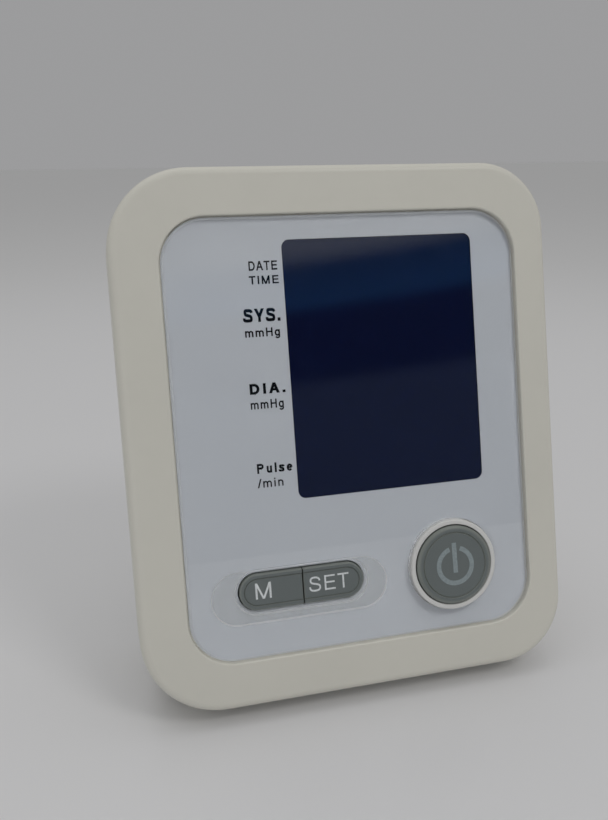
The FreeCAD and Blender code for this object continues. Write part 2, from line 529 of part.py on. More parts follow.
valve = cz_(MX, SOCK_Y, 6.5, 40.0, 56.0).fuse(cz_(MX, SOCK_Y, 3.4, 56.0, 58.0))
valve = valve.fuse(cz_(MX, SOCK_Y, TUBE_RI, 36.0, 40.0)).removeSplitter()
valve = valve.cut(cz_(MX, SOCK_Y, 1.1, 35.0, 50.0)).cut(cz_(MX, SOCK_Y, 1.6, 53.4, 59.0))
parts["deflation_valve"] = one(valve)
parts["valve_plunger"] = cz_(MX, SOCK_Y, 1.55, 54.2, 59.6).fuse(cz_(MX, SOCK_Y, 2.6, 59.6, 60.6)).removeSplitter()

sens = box(MX - 5, MX + 5, BOARD_Y1, 16.6, SOCK_Z - 5, SOCK_Z + 5)
sens = sens.fuse(cy(MX, SOCK_Z, TUBE_RI, 16.0, 19.9)).cut(cy(MX, SOCK_Z, 1.1, 14.5, 21))
parts["pressure_sensor"] = one(sens)

# air socket: flange outside, body through the wall, barb inside
SX = -SEAT_X
sock = cx_(SOCK_Y, SOCK_Z, 6.8, SX - 2.4, SX)
sock = sock.makeFillet(0.6, [e for e in sock.Edges if abs(e.BoundBox.XMin - SX + 2.4) < 0.01 and abs(e.BoundBox.XMax - SX + 2.4) < 0.01])
sock = sock.fuse(cx_(SOCK_Y, SOCK_Z, 5.0, SX, SX + 10.5)).fuse(cx_(SOCK_Y, SOCK_Z, TUBE_RI, SX + 10.5, SX + 15.0)).removeSplitter()
sock = sock.cut(cx_(SOCK_Y, SOCK_Z, 2.4, SX - 4, SX + 8.6)).cut(cx_(SOCK_Y, SOCK_Z, 1.1, SX + 8, SX + 16))
mouth = [e for e in sock.Edges if abs(e.BoundBox.XMin - SX + 2.4) < 0.01 and abs(e.BoundBox.XMax - SX + 2.4) < 0.01
         and abs(e.Length - 2 * math.pi * 2.4) < 0.2]
sock = sock.makeChamfer(0.5, mouth)
parts["air_socket"] = one(sock)

# mains inlet: round flange outside, barrel with a centre pin, terminal block inside
JX = SEAT_X
jack = cx_(INLET_Y, INLET_Z, 5.9, JX, JX + 2.2)
jack = jack.makeFillet(0.5, [e for e in jack.Edges if abs(e.BoundBox.XMin - JX - 2.2) < 0.01 and abs(e.BoundBox.XMax - JX - 2.2) < 0.01])
jack = jack.fuse(cx_(INLET_Y, INLET_Z, 4.8, JX - 11.0, JX))
jack = jack.fuse(box(JX - 14.0, JX - 4.6, INLET_Y - 5.5, INLET_Y + 5.5, INLET_Z - 5.5, INLET_Z + 5.5)).removeSplitter()
jack = jack.cut(cx_(INLET_Y, INLET_Z, 3.0, JX - 9.0, JX + 4.0)).cut(cx_(INLET_Y, INLET_Z, 1.05, JX - 10.0, JX - 8.0))
parts["dc_jack"] = one(jack)
parts["dc_jack_pin"] = cx_(INLET_Y, INLET_Z, 1.05, JX - 10.0, JX + 0.8)

# ---------------------------------------------------------------- screws and feet
scr = []
for x, z in CASE_SCREWS:
    s = cy(x, z, 2.9, 20.0, 22.3)
    s = s.makeFillet(0.8, [e for e in s.Edges if e.BoundBox.YMin > 22.2])
    s = s.fuse(cy(x, z, 1.45, 7.0, 20.0)).removeSplitter()
    s = s.cut(box(x - 1.9, x + 1.9, 21.2, 23, z - 0.4, z + 0.4)).cut(box(x - 0.4, x + 0.4, 21.2, 23, z - 1.9, z + 1.9))
    scr.append(one(s))
parts["case_screws"] = Part.makeCompound(scr)

feet = []
for x, z in FEET:
    f = cy(x, z, 4.9, 45.0, 47.4)
    f = f.makeFillet(0.8, [e for e in f.Edges if e.BoundBox.YMin > 47.3])
    feet.append(f)
parts["rear_feet"] = Part.makeCompound(feet)

# ---------------------------------------------------------------- stand it up and write it
# Leaning back turns z towards +y; the standing plane then is z = FLOOR_Z0 * cos(LEAN).
leaned = {}
for name, s in parts.items():
    s = s.copy()
    s.rotate(V(0, 0, 0), V(1, 0, 0), -LEAN)
    leaned[name] = s

ca, sa = math.cos(math.radians(LEAN)), math.sin(math.radians(LEAN))
boxes = [s.optimalBoundingBox(False, False) for s in leaned.values()]
y_mid = (min(b.YMin for b in boxes) + max(b.YMax for b in boxes)) / 2
x_mid = (min(b.XMin for b in boxes) + max(b.XMax for b in boxes)) / 2
z_low = FLOOR_Z0 * ca
print("shift", x_mid, y_mid, z_low, "lowest", min(b.ZMin for b in boxes) - z_low,
      "size", max(b.XMax for b in boxes) - min(b.XMin for b in boxes),
      max(b.YMax for b in boxes) - min(b.YMin for b in boxes), max(b.ZMax for b in boxes) - z_low)
for name, s in leaned.items():
    s.translate(V(-x_mid, -y_mid, -z_low))
    if not s.isValid():
        print("not valid:", name)
    n = len(s.Solids)
    print("%-22s solids %d volume %.1f" % (name, n, s.Volume))
    s.exportStep("parts/" + name + ".step")
print(len(leaned), "nodes")
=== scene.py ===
import math

import bpy
from mathutils import Matrix, Vector
from mathutils.bvhtree import BVHTree
from mathutils.geometry import delaunay_2d_cdt


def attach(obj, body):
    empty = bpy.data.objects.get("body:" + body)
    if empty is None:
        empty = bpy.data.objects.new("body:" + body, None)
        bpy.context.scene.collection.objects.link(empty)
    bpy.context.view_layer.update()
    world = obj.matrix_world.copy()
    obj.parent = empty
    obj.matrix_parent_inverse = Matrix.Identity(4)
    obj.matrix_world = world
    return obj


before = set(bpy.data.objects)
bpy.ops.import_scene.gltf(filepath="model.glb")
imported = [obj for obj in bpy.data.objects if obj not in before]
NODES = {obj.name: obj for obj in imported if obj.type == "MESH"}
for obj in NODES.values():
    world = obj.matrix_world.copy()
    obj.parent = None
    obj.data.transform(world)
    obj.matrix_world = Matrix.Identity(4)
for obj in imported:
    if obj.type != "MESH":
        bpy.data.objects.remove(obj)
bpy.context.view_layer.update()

# The face's own frame, in mm: x to the right, y into the case, z up the face. It leans back by 14 degrees.
LEAN = math.radians(14.0)
CA, SA = math.cos(LEAN), math.sin(LEAN)
FACE = Matrix(((1, 0, 0, 0), (0, CA, SA, -0.0215527), (0, -SA, CA, 0.0716078), (0, 0, 0, 1)))
FACE_INV = FACE.inverted()


def P(x, y, z):
    return FACE @ Vector((x / 1000, y / 1000, z / 1000))


def D(x, y, z):
    return (FACE.to_3x3() @ Vector((x, y, z))).normalized()


# ------------------------------------------------------------------ materials
class Tree:
    """Short names for building a node tree."""

    def __init__(self, name):
        self.m = bpy.data.materials.new(name)
        self.m.use_nodes = True
        self.t = self.m.node_tree
        self.t.nodes.clear()
        self.out = self.t.nodes.new("ShaderNodeOutputMaterial")
        self.b = self.t.nodes.new("ShaderNodeBsdfPrincipled")
        self.t.links.new(self.b.outputs[0], self.out.inputs[0])
        self.co = self.t.nodes.new("ShaderNodeTexCoord").outputs["Object"]

    def n(self, kind, **kw):
        x = self.t.nodes.new(kind)
        for k, v in kw.items():
            setattr(x, k, v)
        return x

    def link(self, a, b):
        self.t.links.new(a, b)

    def noise(self, scale, detail=3.0, rough=0.55, distort=0.0, co=None):
        x = self.n("ShaderNodeTexNoise")
        x.inputs["Scale"].default_value = scale
        x.inputs["Detail"].default_value = detail
        x.inputs["Roughness"].default_value = rough
        x.inputs["Distortion"].default_value = distort
        self.link(co or self.co, x.inputs["Vector"])
        return x.outputs["Fac"]

    def voronoi(self, scale, feature="F1", co=None):
        x = self.n("ShaderNodeTexVoronoi", feature=feature)
        x.inputs["Scale"].default_value = scale
        self.link(co or self.co, x.inputs["Vector"])
        return x.outputs["Distance"]

    def math(self, op, a, b=None, clamp=False):
        x = self.n("ShaderNodeMath", operation=op, use_clamp=clamp)
        for i, v in enumerate((a, b)):
            if v is None:
                continue
            if isinstance(v, (int, float)):
                x.inputs[i].default_value = v
            else:
                self.link(v, x.inputs[i])
        return x.outputs[0]

    def span(self, v, a, b, c, d, smooth=False):
        x = self.n("ShaderNodeMapRange")
        if smooth:
            x.interpolation_type = "SMOOTHSTEP"
        self.link(v, x.inputs[0])
        for i, q in enumerate((a, b, c, d)):
            x.inputs[i + 1].default_value = q
        return x.outputs[0]

    def mix(self, f, a, b, blend="MIX"):
        x = self.n("ShaderNodeMix", data_type="RGBA", blend_type=blend)
        if isinstance(f, (int, float)):
            x.inputs[0].default_value = f
        else:
            self.link(f, x.inputs[0])
        for i, v in ((6, a), (7, b)):
            if isinstance(v, tuple):
                x.inputs[i].default_value = (*v, 1.0) if len(v) == 3 else v
            else:
                self.link(v, x.inputs[i])
        return x.outputs[2]

    def bump(self, h, strength, distance, under=None):
        x = self.n("ShaderNodeBump")
        x.inputs["Strength"].default_value = strength
        x.inputs["Distance"].default_value = distance
        self.link(h, x.inputs["Height"])
        if under is not None:
            self.link(under, x.inputs["Normal"])
        return x.outputs[0]

    def face_co(self):
        """The place on the face, in mm, as x, y, z."""
        m = self.n("ShaderNodeVectorMath", operation="SUBTRACT")
        self.link(self.co, m.inputs[0])
        m.inputs[1].default_value = (0, -0.0215527, 0.0716078)
        r = self.n("ShaderNodeVectorRotate", rotation_type="X_AXIS")
        r.inputs["Angle"].default_value = LEAN
        self.link(m.outputs[0], r.inputs["Vector"])
        s = self.n("ShaderNodeVectorMath", operation="SCALE")
        s.inputs["Scale"].default_value = 1000.0
        self.link(r.outputs[0], s.inputs[0])
        x = self.n("ShaderNodeSeparateXYZ")
        self.link(s.outputs[0], x.inputs[0])
        return x.outputs[0], x.outputs[1], x.outputs[2]

    def slope(self, a, b):
        """0 where the surface faces straight out of the face (cosine a or more), 1 where it turns away (b or less)."""
        geo = self.n("ShaderNodeNewGeometry")
        dot = self.n("ShaderNodeVectorMath", operation="DOT_PRODUCT")
        self.link(geo.outputs["Normal"], dot.inputs[0])
        dot.inputs[1].default_value = (0, CA, -SA)
        return self.span(self.math("ABSOLUTE", dot.outputs["Value"]), b, a, 1.0, 0.0)

    def set(self, **kw):
        names = {"base": "Base Color", "rough": "Roughness", "metal": "Metallic", "normal": "Normal", "ior": "IOR",
                 "coat": "Coat Weight", "coat_rough": "Coat Roughness", "spec": "Specular IOR Level", "tint": "Specular Tint",
                 "trans": "Transmission Weight", "alpha": "Alpha", "sheen": "Sheen Weight", "sss": "Subsurface Weight",
                 "sss_r": "Subsurface Radius", "sss_s": "Subsurface Scale"}
        for k, v in kw.items():
            s = self.b.inputs[names[k]]
            if isinstance(v, (int, float)):
                s.default_value = v
            elif isinstance(v, tuple):
                s.default_value = (*v, 1.0) if (len(v) == 3 and s.type == "RGBA") else v
            else:
                self.link(v, s)
        return self.m


def srgb(r, g, b):
    def f(c):
        c = c / 255
        return c / 12.92 if c <= 0.04045 else ((c + 0.055) / 1.055) ** 2.4
    return (f(r), f(g), f(b))


def dim(c, k):
    return tuple(min(1.0, x * k) for x in c)


def plastic(name, base, rough=0.42, grain=1400.0, grain_depth=0.00001, mottle=0.05, grain_strength=0.25, spec=0.45, ring=None):
    """Moulded plastic: a fine spark-eroded grain, slow tone drift, and slightly polished high spots.
    ring is (x, z, radius, colour) of a whiter collar on the face."""
    t = Tree(name)
    slow = t.noise(24.0, 3.0, 0.6)
    fine = t.noise(grain, 2.0, 0.5)
    mid = t.noise(260.0, 4.0, 0.6)
    tone = t.math("ADD", t.math("MULTIPLY", slow, 0.75), t.math("MULTIPLY", mid, 0.25))
    col = t.mix(t.span(tone, 0.3, 0.7, 0.0, 1.0), dim(base, 1.0 - mottle), dim(base, 1.0 + mottle * 0.6))
    if ring:
        x, y, z = t.face_co()
        dx, dz = t.math("SUBTRACT", x, ring[0]), t.math("SUBTRACT", z, ring[1])
        away = t.math("SQRT", t.math("ADD", t.math("MULTIPLY", dx, dx), t.math("MULTIPLY", dz, dz)))
        col = t.mix(t.math("MULTIPLY", t.span(away, ring[2], ring[2] + 0.15, 1.0, 0.0), t.span(y, 2.4, 2.6, 1.0, 0.0)), col, ring[3])
    r = t.span(t.math("ADD", t.math("MULTIPLY", mid, 0.6), t.math("MULTIPLY", slow, 0.4)), 0.3, 0.7, rough - 0.05, rough + 0.05)
    return t.set(base=col, rough=r, spec=spec, normal=t.bump(fine, grain_strength, grain_depth))


def key_plastic_rim_lit(name, base, rough):
    """Grey key plastic with a fine grain; its rounded rims are painted paler, a painted highlight for the bright
    ceiling they reflect, and are made a little smoother.
    """
    t = Tree(name)
    slow, mid, fine = t.noise(24.0, 3.0, 0.6), t.noise(320.0, 4.0, 0.6), t.noise(2200.0, 2.0, 0.5)
    tone = t.math("ADD", t.math("MULTIPLY", slow, 0.7), t.math("MULTIPLY", mid, 0.3))
    col = t.mix(t.span(tone, 0.3, 0.7, 0.0, 1.0), dim(base, 0.965), dim(base, 1.03))
    # painted highlight: the sloped rims are lightened in colour, standing in for the sheen of the ceiling light on them
    rim_sheen_and_polish = t.math("MULTIPLY", t.slope(0.996, 0.93), t.span(mid, 0.25, 0.75, 0.75, 1.0))
    col = t.mix(rim_sheen_and_polish, col, tuple(c * k for c, k in zip(base, (1.42, 1.36, 1.26))))
    return t.set(base=col, rough=t.math("SUBTRACT", t.span(tone, 0.3, 0.7, rough - 0.04, rough + 0.05), t.math("MULTIPLY", rim_sheen_and_polish, 0.08)), spec=0.45,
                 normal=t.bump(fine, 0.3, 0.00001))


CREAM = srgb(218, 216, 206)
CREAM_BACK = srgb(217, 214, 203)

mat_case = plastic("cream_case", CREAM, rough=0.40, grain=2600.0, grain_depth=0.000006, mottle=0.03, ring=(26.27, -38.65, 12.45, srgb(221, 221, 219)))
mat_rear = plastic("cream_rear", CREAM_BACK, rough=0.52, grain=1500.0, grain_depth=0.000022, mottle=0.04, grain_strength=0.4)
mat_white = plastic("white_plastic", srgb(228, 228, 226), rough=0.45)
mat_black = plastic("black_plastic", srgb(28, 28, 30), rough=0.42, mottle=0.15)
mat_socket = plastic("socket_plastic", srgb(52, 54, 58), rough=0.38, mottle=0.12, grain=3000.0)
mat_key = key_plastic_rim_lit("key_plastic", srgb(107, 114, 114), 0.46)
mat_rubber = plastic("rubber", srgb(74, 74, 74), rough=0.78, grain=2600.0, grain_depth=0.00002, mottle=0.12, grain_strength=0.5, spec=0.3)
mat_foam = plastic("foam_rubber", srgb(40, 40, 40), rough=0.9, grain=1200.0, grain_depth=0.00005, mottle=0.2, grain_strength=0.6, spec=0.2)
mat_tape = plastic("foam_tape", srgb(214, 214, 210), rough=0.8)
mat_tube = plastic("silicone_tube", srgb(208, 206, 194), rough=0.35, mottle=0.06)
mat_zebra = plastic("contact_rubber", srgb(190, 120, 116), rough=0.7)
mat_guide = plastic("light_guide", srgb(236, 238, 240), rough=0.2, mottle=0.02)


def steel(name, base, rough, streak=(900.0, 40.0, 40.0)):
    t = Tree(name)
    m = t.n("ShaderNodeMapping")
    m.inputs["Scale"].default_value = streak
    t.link(t.co, m.inputs[0])
    f = t.noise(1.0, 4.0, 0.6, co=m.outputs[0])
    c = t.mix(t.span(f, 0.3, 0.7, 0.0, 1.0), dim(base, 0.9), dim(base, 1.05))
    return t.set(base=c, metal=1.0, rough=t.span(f, 0.3, 0.7, rough - 0.06, rough + 0.08), normal=t.bump(f, 0.15, 0.00001))


mat_steel = steel("plated_steel", (0.62, 0.62, 0.60), 0.28)
mat_can = steel("drawn_steel", (0.52, 0.53, 0.55), 0.34, (60.0, 900.0, 60.0))


def board():
    t = Tree("circuit_board")
    x, y, z = t.face_co()
    traces = t.voronoi(420.0, "DISTANCE_TO_EDGE")
    tr = t.span(traces, 0.04, 0.09, 1.0, 0.0)
    patch = t.noise(60.0, 2.0)
    show = t.math("MULTIPLY", tr, t.span(patch, 0.45, 0.55, 0.0, 1.0))
    col = t.mix(show, (0.012, 0.09, 0.035), (0.03, 0.16, 0.06))
    return t.set(base=col, rough=t.span(t.noise(900.0), 0.3, 0.7, 0.28, 0.4), normal=t.bump(show, 0.4, 0.00003))


mat_board = board()


def lens():
    """Clear acrylic with a faint polish haze, milkier on its moulded slopes. Lamps reach what is behind it."""
    t = Tree("clear_lens")
    haze = t.noise(120.0, 5.0, 0.65)
    slope = t.slope(0.985, 0.60)
    # the shallow recess round the two small keys has a finely frosted floor
    x, y, z = t.face_co()
    dx = t.math("MAXIMUM", t.math("SUBTRACT", t.math("ABSOLUTE", t.math("SUBTRACT", x, -16.45)), 16.7), 0.0)
    dz = t.math("SUBTRACT", z, -40.25)
    away = t.math("SQRT", t.math("ADD", t.math("MULTIPLY", dx, dx), t.math("MULTIPLY", dz, dz)))
    frost = t.math("MULTIPLY", t.span(away, 6.6, 7.0, 1.0, 0.0), t.span(y, 1.2, 1.5, 1.0, 0.0))
    speck = t.span(t.noise(900.0, 3.0, 0.7), 0.35, 0.65, 0.6, 1.0)
    base = t.mix(t.math("MULTIPLY", frost, speck), (0.985, 0.99, 1.0), (0.86, 0.86, 0.84))
    rough = t.math("ADD", t.span(haze, 0.35, 0.7, 0.015, 0.05), t.math("ADD", t.math("MULTIPLY", slope, 0.25), t.math("MULTIPLY", frost, 0.12)))
    t.set(base=base, rough=rough, ior=1.49,
          trans=t.span(slope, 0.0, 1.0, 1.0, 0.80), normal=t.bump(t.noise(30.0, 2.0), 0.02, 0.00002))
    clear = t.n("ShaderNodeBsdfTransparent")
    clear.inputs[0].default_value = (0.93, 0.94, 0.96, 1.0)
    path = t.n("ShaderNodeLightPath")
    m = t.n("ShaderNodeMixShader")
    t.link(path.outputs["Is Shadow Ray"], m.inputs[0])
    t.link(t.b.outputs[0], m.inputs[1])
    t.link(clear.outputs[0], m.inputs[2])
    t.link(m.outputs[0], t.out.inputs[0])
    return t.m


mat_lens = lens()


def printed():
    """Pale lavender ink on the back of the window, with a barely visible press grain."""
    t = Tree("printed_sheet")
    grain = t.noise(1500.0, 2.0)
    slow = t.noise(16.0, 2.0)
    a, b = srgb(207, 211, 215), srgb(202, 206, 211)
    col = t.mix(t.math("ADD", t.math("MULTIPLY", slow, 0.7), t.math("MULTIPLY", grain, 0.3)), a, b)
    return t.set(base=col, rough=t.span(grain, 0.3, 0.7, 0.5, 0.6), normal=t.bump(grain, 0.1, 0.000004))


mat_print = printed()


def display():
    """Unlit display glass: navy with a slow cloudy drift in tone, and a blue sheen."""
    t = Tree("display_glass")
    x, y, z = t.face_co()
    cloud = t.noise(26.0, 3.0)
    low = t.mix(t.span(cloud, 0.3, 0.7, 0.0, 1.0), (0.0030, 0.0055, 0.026), (0.0038, 0.0068, 0.032))
    return t.set(base=low, rough=t.span(t.noise(90.0, 3.0), 0.3, 0.7, 0.05, 0.1), tint=(0.35, 0.55, 1.0), spec=0.6)


mat_lcd = display()


def ink(name, base, rough=0.5, spec=0.5):
    t = Tree(name)
    f = t.noise(1800.0, 2.0)
    c = t.mix(t.span(f, 0.3, 0.7, 0.0, 1.0), dim(base, 0.88), dim(base, 1.12))
    return t.set(base=c, rough=t.span(f, 0.3, 0.7, rough - 0.05, rough + 0.08), spec=spec, normal=t.bump(f, 0.15, 0.000004))


mat_dark_ink = ink("dark_ink", srgb(7, 8, 11), 0.6, 0.05)
mat_light_ink = ink("light_ink", srgb(222, 226, 228), 0.55)
mat_symbol = ink("symbol_ink", srgb(143, 154, 157), 0.5)


def cell():
    """Plain sleeved cells: dark sleeve, copper-coloured band at the button end, steel at both ends.
    Their button ends point left and right by turns."""
    t = Tree("cell_sleeve")
    x, y, z = t.face_co()
    turn = t.math("SUBTRACT", t.math("GREATER_THAN", z, -26.2), t.math("ADD", t.math("GREATER_THAN", z, -41.0), t.math("GREATER_THAN", z, -11.4)))
    u = t.math("MULTIPLY", x, t.math("ADD", t.math("MULTIPLY", turn, 2.0), 1.0))
    steel_end = t.math("MAXIMUM", t.math("GREATER_THAN", u, 27.1), t.math("LESS_THAN", u, -21.1))
    band = t.math("GREATER_THAN", u, 15.5)
    col = t.mix(band, srgb(44, 74, 88), srgb(196, 150, 84))
    col = t.mix(steel_end, col, (0.6, 0.6, 0.6))
    wear = t.noise(400.0)
    col = t.mix(t.span(wear, 0.4, 0.75, 0.0, 0.15), col, (0.5, 0.5, 0.5))
    return t.set(base=col, metal=t.math("MAXIMUM", steel_end, 0.35), rough=t.span(wear, 0.3, 0.7, 0.24, 0.36))


mat_cell = cell()

LOOKS = {
    "front_case": mat_case, "lens_panel": mat_lens, "panel_print": mat_print, "lens_tape": mat_tape, "lcd_cell": mat_lcd,
    "lcd_holder": mat_white, "lcd_backlight": mat_guide, "lcd_zebra_strips": mat_zebra,
    "power_button": mat_key, "memory_button": mat_key, "set_button": mat_key,
    "power_switch": mat_black, "memory_switch": mat_black, "set_switch": mat_black,
    "power_switch_stem": mat_white, "memory_switch_stem": mat_white, "set_switch_stem": mat_white,
    "main_board": mat_board, "microcontroller": mat_black, "board_capacitors": mat_can, "wire_headers": mat_white,
    "buzzer": mat_black, "board_screws": mat_steel, "rear_housing": mat_rear, "battery_door": mat_rear,
    "aa_cells": mat_cell, "battery_plates": mat_steel, "battery_springs": mat_steel,
    "pump_motor": mat_can, "motor_shaft": mat_steel, "pump_crank": mat_white, "pump_head": mat_black, "pump_sleeve": mat_foam,
    "air_manifold": mat_white, "socket_tube": mat_tube, "pump_tube": mat_tube, "valve_tube": mat_tube, "sensor_tube": mat_tube,
    "deflation_valve": mat_can, "valve_plunger": mat_steel, "pressure_sensor": mat_black,
    "air_socket": mat_socket, "dc_jack": mat_socket, "dc_jack_pin": mat_steel, "case_screws": mat_steel, "rear_feet": mat_rubber,
}
for name, node in NODES.items():
    node.data.materials.clear()
    node.data.materials.append(LOOKS.get(name, mat_white))
    node.data.shade_smooth()
    node.data.set_sharp_from_angle(angle=math.radians(24))


# ------------------------------------------------------------------ lettering
def surface(*names):
    """Depth of the foremost surface of these nodes at a point of the face, in mm."""
    trees = []
    for n in names:
        me = NODES[n].data
        pts = [FACE_INV @ v.co * 1000 for v in me.vertices]
        trees.append(BVHTree.FromPolygons(pts, [p.vertices[:] for p in me.polygons]))

    def at(x, z):
        hits = [t.ray_cast(Vector((x, -20, z)), Vector((0, 1, 0)))[0] for t in trees]
        hits = [h.y for h in hits if h is not None]
        return min(hits) if hits else None
    return at


def make(name, body, pts, faces, mat):
    me = bpy.data.meshes.new(name)
    me.from_pydata([P(*p) for p in pts], [], faces)
    me.validate()
    me.update()
    import bmesh
    b = bmesh.new()
    b.from_mesh(me)
    bmesh.ops.recalc_face_normals(b, faces=b.faces)
    b.to_mesh(me)
    b.free()
    me.materials.append(mat)
    o = bpy.data.objects.new(name, me)
    bpy.context.scene.collection.objects.link(o)
    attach(o, body)
    return o


def curve(a, b, c, d, n=8):
    """Points on one smooth bend from a to d."""
    out = []
    for i in range(1, n + 1):
        t = i / n
        u = 1 - t
        out.append(tuple(u ** 3 * a[k] + 3 * u * u * t * b[k] + 3 * u * t * t * c[k] + t ** 3 * d[k] for k in (0, 1)))
    return out


def arc(cx, cz, rx, rz, a0, a1, n=12):
    return [(cx + rx * math.cos(math.radians(a0 + (a1 - a0) * i / n)), cz + rz * math.sin(math.radians(a0 + (a1 - a0) * i / n)))
            for i in range(n + 1)]


def ess(w, top, wide, left=0.065):
    """The spine of an S, top high and wide broad."""
    h = w / 2
    z, x = top, wide
    a = (0.86 * x, 0.705 * z)
    line = [a]
    line += curve(a, (0.83 * x, 0.88 * z), (0.69 * x, z - h), (0.49 * x, z - h))
    line += curve((0.49 * x, z - h), (0.27 * x, z - h), (0.11 * x + h, 0.90 * z), (0.11 * x + h, 0.735 * z))
    line += curve((0.11 * x + h, 0.735 * z), (0.11 * x + h, 0.585 * z), (0.29 * x, 0.56 * z), (0.49 * x, 0.515 * z))
    line += curve((0.49 * x, 0.515 * z), (0.73 * x, 0.465 * z), (0.94 * x - h, 0.43 * z), (0.94 * x - h, 0.275 * z))
    line += curve((0.94 * x - h, 0.275 * z), (0.94 * x - h, 0.11 * z), (0.74 * x, h), (0.50 * x, h))
    line += curve((0.50 * x, h), (0.26 * x, h), (0.10 * x, 0.11 * z), (left + h * 0.6, 0.33 * z))
    return line


def slant(p, q, w):
    """A sloping stroke whose ends are cut level."""
    dx, dz = q[0] - p[0], q[1] - p[1]
    k = w * math.hypot(dx, dz) / abs(dz) / 2
    return [(p[0] - k, p[1]), (p[0] + k, p[1]), (q[0] + k, q[1]), (q[0] - k, q[1])]


def ribbon(line, w, closed=False):
    """Quads along a line, mitred at its corners, cut square at its ends."""
    n = len(line)
    rows = []
    for i, (x, z) in enumerate(line):
        a = line[(i - 1) % n] if (closed or i) else None
        b = line[(i + 1) % n] if (closed or i < n - 1) else None
        t1 = Vector((x - a[0], z - a[1])).normalized() if a else None
        t2 = Vector((b[0] - x, b[1] - z)).normalized() if b else None
        t = (t1 + t2).normalized() if a and b else (t1 or t2)
        k = 1.0 / max(0.5, t.dot(t1 or t2))
        q = Vector((-t.y, t.x)) * w / 2 * k
        rows.append(((x + q.x, z + q.y), (x - q.x, z - q.y)))
    return [[rows[i][0], rows[i][1], rows[(i + 1) % n][1], rows[(i + 1) % n][0]] for i in range(n if closed else n - 1)]


XH = 0.725


def glyph(c, w):
    """Outline pieces of one plain sans letter of height 1 with strokes of width w, and its advance."""
    h = w / 2
    R = ribbon

    def dot(x, z):
        return [[(x - h * 1.05, z), (x + h * 1.05, z), (x + h * 1.05, z + w * 1.05), (x - h * 1.05, z + w * 1.05)]]

    def arch(x0, x1):
        m, r = (x0 + x1) / 2, (x1 - x0) / 2
        return R([(x0, 0.42)] + arc(m, 0.45, r, XH - h + 0.008 - 0.45, 180, 0, 16) + [(x1, 0)], w)

    if c == "D":
        x0, X = 0.115 + h, 0.935 - h
        return R([(x0, h), (0.50, h)] + arc(0.50, 0.5, X - 0.50, 0.5 - h, -90, 90, 20) + [(x0, 1 - h)], w) + R([(x0, 0), (x0, 1)], w), 1.009
    if c == "A":
        k = w * 0.55
        return [slant((k + 0.005, 0), (0.466, 1), w), slant((0.927 - k, 0), (0.466, 1), w)] + R([(0.2, 0.35), (0.73, 0.35)], w * 0.9), 0.932
    if c == "T":
        return R([(0.03, 1 - h), (0.82, 1 - h)], w * 0.95) + R([(0.425, 0), (0.425, 1 - h)], w), 0.853
    if c == "E":
        x0 = 0.11 + h
        return R([(x0, 0), (x0, 1)], w) + R([(x0, h), (0.875, h)], w * 0.93) + R([(x0, 0.52), (0.83, 0.52)], w * 0.93) + R([(x0, 1 - h), (0.865, 1 - h)], w * 0.93), 0.932
    if c == "I":
        return R([(0.194, 0), (0.194, 1)], w), 0.388
    if c == "M":
        k = w * 0.53
        return (R([(0.105 + h, 0), (0.105 + h, 1)], w) + R([(1.06 - h, 0), (1.06 - h, 1)], w)
                + [slant((0.105 + k, 1), (0.5825, 0), w), slant((1.06 - k, 1), (0.5825, 0), w)]), 1.164
    if c == "S":
        return R(ess(w, 1.0, 0.932), w), 0.932
    if c == "s":
        return R(ess(w, XH, 0.70, 0.05), w), 0.70
    if c == "Y":
        k = w * 0.62
        return [slant((k, 1), (0.466, 0.40), w), slant((0.932 - k, 1), (0.466, 0.40), w)] + R([(0.466, 0), (0.466, 0.44)], w), 0.932
    if c == "H":
        return R([(0.11 + h, 0), (0.11 + h, 1)], w) + R([(0.90 - h, 0), (0.90 - h, 1)], w) + R([(0.11 + h, 0.53), (0.90 - h, 0.53)], w * 0.93), 1.009
    if c == "P":
        x0, X = 0.11 + h, 0.87 - h
        return R([(x0, 0.42 + h), (0.56, 0.42 + h)] + arc(0.56, 0.71, X - 0.56, 0.29 - h, -90, 90, 16) + [(x0, 1 - h)], w) + R([(x0, 0), (x0, 1)], w), 0.932
    if c == "m":
        a, b, d = 0.09 + h, 0.583, 1.076 - h
        return R([(a, 0), (a, XH)], w) + arch(a, b) + arch(b, d), 1.164
    if c == "n":
        a, b = 0.09 + h, 0.69 - h
        return R([(a, 0), (a, XH)], w) + arch(a, b), 0.777
    if c == "u":
        a, b = 0.09 + h, 0.69 - h
        m, r = (a + b) / 2, (b - a) / 2
        return R([(b, 0), (b, XH)], w) + R([(a, XH)] + arc(m, 0.28, r, 0.28 - h + 0.008, 180, 360, 16) + [(b, 0.31)], w), 0.777
    if c == "l":
        return R([(0.155, 0), (0.155, 1)], w), 0.31
    if c == "i":
        return R([(0.155, 0), (0.155, XH)], w) + dot(0.155, 1 - w * 1.05), 0.31
    if c == "e":
        m = XH / 2
        ring = arc(0.388, m, 0.335 - h, m - h + 0.01, 0, 318, 34)
        return R(ring, w) + R([(0.388 - 0.335 + h, m + 0.01), (0.388 + 0.335 - h, m + 0.01)], w * 0.9), 0.777
    if c == "g":
        b = 0.69 - h
        bowl = arc(0.375, 0.365, 0.325 - h, 0.365 - h + 0.008, 0, 360, 32)[:-1]
        hook = [(b, XH), (b, -0.04)] + arc(0.385, -0.04, b - 0.385, 0.255 - h, 0, -165, 16)[1:]
        return R(bowl, w, True) + R(hook, w), 0.777
    if c == "/":
        return [slant((0.03, -0.015), (0.358, 1.015), w)], 0.388
    if c == ".":
        return dot(0.194, 0), 0.388
    raise ValueError(c)


def inside(p, q):
    """True if point p lies in the flat outline q."""
    odd = False
    for i in range(len(q)):
        a, b = q[i - 1], q[i]
        if (a.y > p.y) != (b.y > p.y) and p.x < (b.x - a.x) * (p.y - a.y) / (b.y - a.y) + a.x:
            odd = not odd
    return odd


